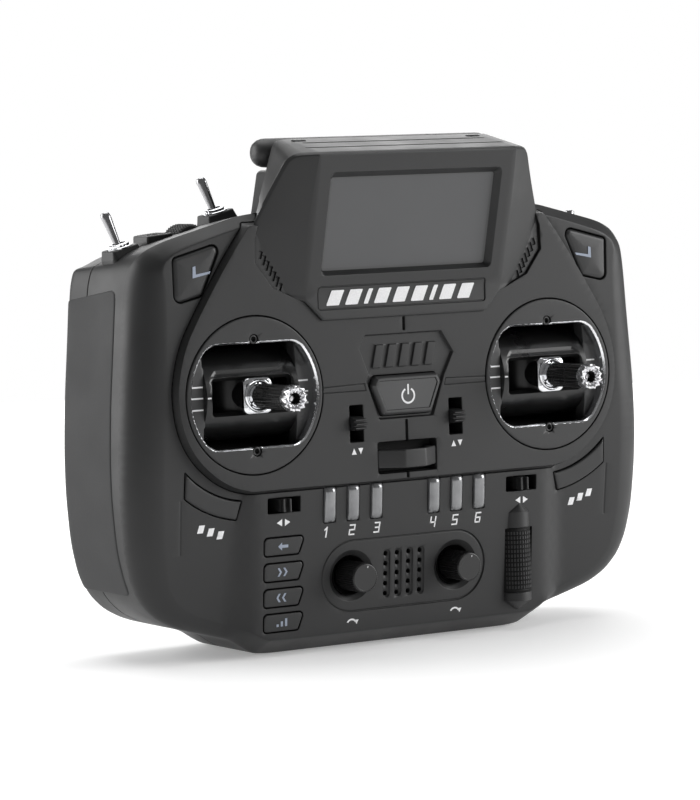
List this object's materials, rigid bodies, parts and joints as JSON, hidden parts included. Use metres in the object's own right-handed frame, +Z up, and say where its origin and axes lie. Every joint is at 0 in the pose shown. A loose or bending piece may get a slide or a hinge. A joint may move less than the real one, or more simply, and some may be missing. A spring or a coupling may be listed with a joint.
{
  "type": "radio control transmitter",
  "caption": "Hand-held radio control transmitter with gimbal sticks, a tilted display, trims, keys, knobs, toggles and a folding aerial, held in both hands to steer a model.",
  "frame": {"origin": "middle of the flat base, on the surface the transmitter stands on", "axes": "+X to the right of the operator, -Y the way the control face looks, +Z up towards the display"},
  "size_m": [0.19, 0.0829, 0.1575],
  "materials": {
    "case": "matte charcoal",
    "head": "satin charcoal",
    "grip": "soft textured",
    "screen": "flat grey display window",
    "lcd": "display module",
    "key": "satin dark",
    "power": "semi gloss",
    "smoke": "smoked, glossy",
    "gimbal": "satin black",
    "bezel": "black with a bright bevel",
    "stick": "black anodised",
    "crown": "bright turned",
    "bat": "polished",
    "knob": "knurled",
    "aerial": "satin",
    "cell": "sleeved cell",
    "board": "circuit board",
    "speaker": "loudspeaker"
  },
  "bodies": {
    "case": {"front_shell": "case", "rear_shell": "case", "left_side_grip": "grip", "right_side_grip": "grip", "display_housing": "head", "display_lens": "screen", "lcd_module": "lcd", "battery_cell_a": "cell", "battery_cell_b": "cell", "main_circuit_board": "board", "speaker": "speaker", "neck_strap_bar": "key", "left_gimbal_frame": "gimbal", "right_gimbal_frame": "gimbal", "left_gimbal_bezel": "bezel", "right_gimbal_bezel": "bezel", "left_outer_toggle_base": "gimbal", "left_inner_toggle_base": "gimbal", "right_outer_toggle_base": "gimbal", "right_inner_toggle_base": "gimbal"},
    "battery_door": {"battery_door": "case"},
    "module_bay_cover": {"module_bay_cover": "case"},
    "antenna": {"antenna_bar": "aerial", "antenna_arm": "aerial"},
    "left_drum": {"left_gimbal_drum": "gimbal"},
    "left_stick": {"left_stick": "stick", "left_stick_end": "crown"},
    "left_shoulder_key": {"left_shoulder_key": "key"},
    "left_wing_key": {"left_wing_key": "key"},
    "left_inner_trim": {"left_inner_trim": "key"},
    "left_outer_trim": {"left_outer_trim": "key"},
    "left_knob": {"left_knob": "knob"},
    "left_top_roller": {"left_top_roller": "knob"},
    "left_top_key": {"left_top_key": "key"},
    "left_outer_toggle": {"left_outer_toggle": "bat"},
    "left_inner_toggle": {"left_inner_toggle": "bat"},
    "right_drum": {"right_gimbal_drum": "gimbal"},
    "right_stick": {"right_stick": "stick", "right_stick_end": "crown"},
    "right_shoulder_key": {"right_shoulder_key": "key"},
    "right_wing_key": {"right_wing_key": "key"},
    "right_inner_trim": {"right_inner_trim": "key"},
    "right_outer_trim": {"right_outer_trim": "key"},
    "right_knob": {"right_knob": "knob"},
    "right_top_roller": {"right_top_roller": "knob"},
    "right_top_key": {"right_top_key": "key"},
    "right_outer_toggle": {"right_outer_toggle": "bat"},
    "right_inner_toggle": {"right_inner_toggle": "bat"},
    "function_key_1": {"function_key_1": "smoke"},
    "function_key_2": {"function_key_2": "smoke"},
    "function_key_3": {"function_key_3": "smoke"},
    "function_key_4": {"function_key_4": "smoke"},
    "function_key_5": {"function_key_5": "smoke"},
    "function_key_6": {"function_key_6": "smoke"},
    "nav_key_1": {"nav_key_1": "key"},
    "nav_key_2": {"nav_key_2": "key"},
    "nav_key_3": {"nav_key_3": "key"},
    "nav_key_4": {"nav_key_4": "key"},
    "power_key": {"power_key": "power"},
    "scroll_roller": {"scroll_roller": "knob"}
  },
  "joints": [
    {"name": "left_stick_tilt_up_down", "type": "hinge", "parent": "case", "child": "left_drum", "pos_m": [-0.05408, -0.015, 0.08062], "axis": [1, 0, 0], "range_deg": [-22, 22]},
    {"name": "left_stick_swing_left_right", "type": "hinge", "parent": "left_drum", "child": "left_stick", "pos_m": [-0.05408, -0.015, 0.08062], "axis": [0, 0, 1], "range_deg": [-22, 22], "stiffness_Nm_per_rad": 0.15},
    {"name": "left_shoulder_key_press", "type": "slide", "parent": "case", "child": "left_shoulder_key", "axis": [0, 1, 0], "range_m": [0, 0.0007], "stiffness_N_per_m": 1800},
    {"name": "left_wing_key_press", "type": "slide", "parent": "case", "child": "left_wing_key", "axis": [0, 1, 0], "range_m": [0, 0.0007], "stiffness_N_per_m": 1800},
    {"name": "left_inner_trim_rock", "type": "slide", "parent": "case", "child": "left_inner_trim", "axis": [0, 0, 1], "range_m": [-0.0025, 0.0025], "stiffness_N_per_m": 500},
    {"name": "left_outer_trim_rock", "type": "slide", "parent": "case", "child": "left_outer_trim", "axis": [1, 0, 0], "range_m": [-0.0025, 0.0025], "stiffness_N_per_m": 500},
    {"name": "left_knob_turn", "type": "hinge", "parent": "case", "child": "left_knob", "pos_m": [-0.0193, -0.03, 0.0226], "axis": [0, 1, 0], "range_deg": [-150, 150]},
    {"name": "left_top_roller_turn", "type": "hinge", "parent": "case", "child": "left_top_roller", "pos_m": [-0.0613, -0.003, 0.1265], "axis": [0, 1, 0], "range_deg": [-75, 75]},
    {"name": "left_top_key_press", "type": "slide", "parent": "case", "child": "left_top_key", "axis": [0, 0, -1], "range_m": [0, 0.0008], "stiffness_N_per_m": 1500},
    {"name": "left_outer_toggle_flick", "type": "hinge", "parent": "case", "child": "left_outer_toggle", "pos_m": [-0.08345, -0.003, 0.12413], "axis": [0.9685, 0, 0.2489], "range_deg": [0, 34]},
    {"name": "left_inner_toggle_flick", "type": "hinge", "parent": "case", "child": "left_inner_toggle", "pos_m": [-0.04975, -0.003, 0.13359], "axis": [0.9685, 0, 0.2489], "range_deg": [0, 34]},
    {"name": "right_stick_tilt_up_down", "type": "hinge", "parent": "case", "child": "right_drum", "pos_m": [0.05408, -0.015, 0.08062], "axis": [1, 0, 0], "range_deg": [-22, 22], "stiffness_Nm_per_rad": 0.15, "springref_deg": -0.46},
    {"name": "right_stick_swing_left_right", "type": "hinge", "parent": "right_drum", "child": "right_stick", "pos_m": [0.05408, -0.015, 0.08062], "axis": [0, 0, 1], "range_deg": [-22, 22], "stiffness_Nm_per_rad": 0.15},
    {"name": "right_shoulder_key_press", "type": "slide", "parent": "case", "child": "right_shoulder_key", "axis": [0, 1, 0], "range_m": [0, 0.0007], "stiffness_N_per_m": 1800},
    {"name": "right_wing_key_press", "type": "slide", "parent": "case", "child": "right_wing_key", "axis": [0, 1, 0], "range_m": [0, 0.0007], "stiffness_N_per_m": 1800},
    {"name": "right_inner_trim_rock", "type": "slide", "parent": "case", "child": "right_inner_trim", "axis": [0, 0, 1], "range_m": [-0.0025, 0.0025], "stiffness_N_per_m": 500},
    {"name": "right_outer_trim_rock", "type": "slide", "parent": "case", "child": "right_outer_trim", "axis": [1, 0, 0], "range_m": [-0.0025, 0.0025], "stiffness_N_per_m": 500},
    {"name": "right_knob_turn", "type": "hinge", "parent": "case", "child": "right_knob", "pos_m": [0.0193, -0.03, 0.0226], "axis": [0, 1, 0], "range_deg": [-150, 150]},
    {"name": "right_top_roller_turn", "type": "hinge", "parent": "case", "child": "right_top_roller", "pos_m": [0.0613, -0.003, 0.1265], "axis": [0, 1, 0], "range_deg": [-75, 75]},
    {"name": "right_top_key_press", "type": "slide", "parent": "case", "child": "right_top_key", "axis": [0, 0, -1], "range_m": [0, 0.0008], "stiffness_N_per_m": 1500},
    {"name": "right_outer_toggle_flick", "type": "hinge", "parent": "case", "child": "right_outer_toggle", "pos_m": [0.08345, -0.003, 0.12413], "axis": [0.9685, 0, -0.2489], "range_deg": [0, 34]},
    {"name": "right_inner_toggle_flick", "type": "hinge", "parent": "case", "child": "right_inner_toggle", "pos_m": [0.04975, -0.003, 0.13359], "axis": [0.9685, 0, -0.2489], "range_deg": [0, 34]},
    {"name": "function_key_1_press", "type": "slide", "parent": "case", "child": "function_key_1", "axis": [0, 1, 0], "range_m": [0, 0.0007], "stiffness_N_per_m": 1800},
    {"name": "function_key_2_press", "type": "slide", "parent": "case", "child": "function_key_2", "axis": [0, 1, 0], "range_m": [0, 0.0007], "stiffness_N_per_m": 1800},
    {"name": "function_key_3_press", "type": "slide", "parent": "case", "child": "function_key_3", "axis": [0, 1, 0], "range_m": [0, 0.0007], "stiffness_N_per_m": 1800},
    {"name": "function_key_4_press", "type": "slide", "parent": "case", "child": "function_key_4", "axis": [0, 1, 0], "range_m": [0, 0.0007], "stiffness_N_per_m": 1800},
    {"name": "function_key_5_press", "type": "slide", "parent": "case", "child": "function_key_5", "axis": [0, 1, 0], "range_m": [0, 0.0007], "stiffness_N_per_m": 1800},
    {"name": "function_key_6_press", "type": "slide", "parent": "case", "child": "function_key_6", "axis": [0, 1, 0], "range_m": [0, 0.0007], "stiffness_N_per_m": 1800},
    {"name": "nav_key_1_press", "type": "slide", "parent": "case", "child": "nav_key_1", "axis": [0, 1, 0], "range_m": [0, 0.0006], "stiffness_N_per_m": 1800},
    {"name": "nav_key_2_press", "type": "slide", "parent": "case", "child": "nav_key_2", "axis": [0, 1, 0], "range_m": [0, 0.0006], "stiffness_N_per_m": 1800},
    {"name": "nav_key_3_press", "type": "slide", "parent": "case", "child": "nav_key_3", "axis": [0, 1, 0], "range_m": [0, 0.0006], "stiffness_N_per_m": 1800},
    {"name": "nav_key_4_press", "type": "slide", "parent": "case", "child": "nav_key_4", "axis": [0, 1, 0], "range_m": [0, 0.0006], "stiffness_N_per_m": 1800},
    {"name": "power_key_press", "type": "slide", "parent": "case", "child": "power_key", "axis": [0, 1, 0], "range_m": [0, 0.0008], "stiffness_N_per_m": 2200},
    {"name": "scroll_roller_spin", "type": "hinge", "parent": "case", "child": "scroll_roller", "pos_m": [0.0433, -0.0238, 0.0222], "axis": [0, 0, 1], "continuous": true},
    {"name": "antenna_fold", "type": "hinge", "parent": "case", "child": "antenna", "pos_m": [0, -0.0005, 0.1433], "axis": [1, 0, 0], "range_deg": [-150, 0]},
    {"name": "battery_door_lift_off", "type": "slide", "parent": "case", "child": "battery_door", "axis": [0, 1, 0], "range_m": [0, 0.02]},
    {"name": "module_bay_cover_lift_off", "type": "slide", "parent": "case", "child": "module_bay_cover", "axis": [0, 1, 0], "range_m": [0, 0.012]}
  ]
}
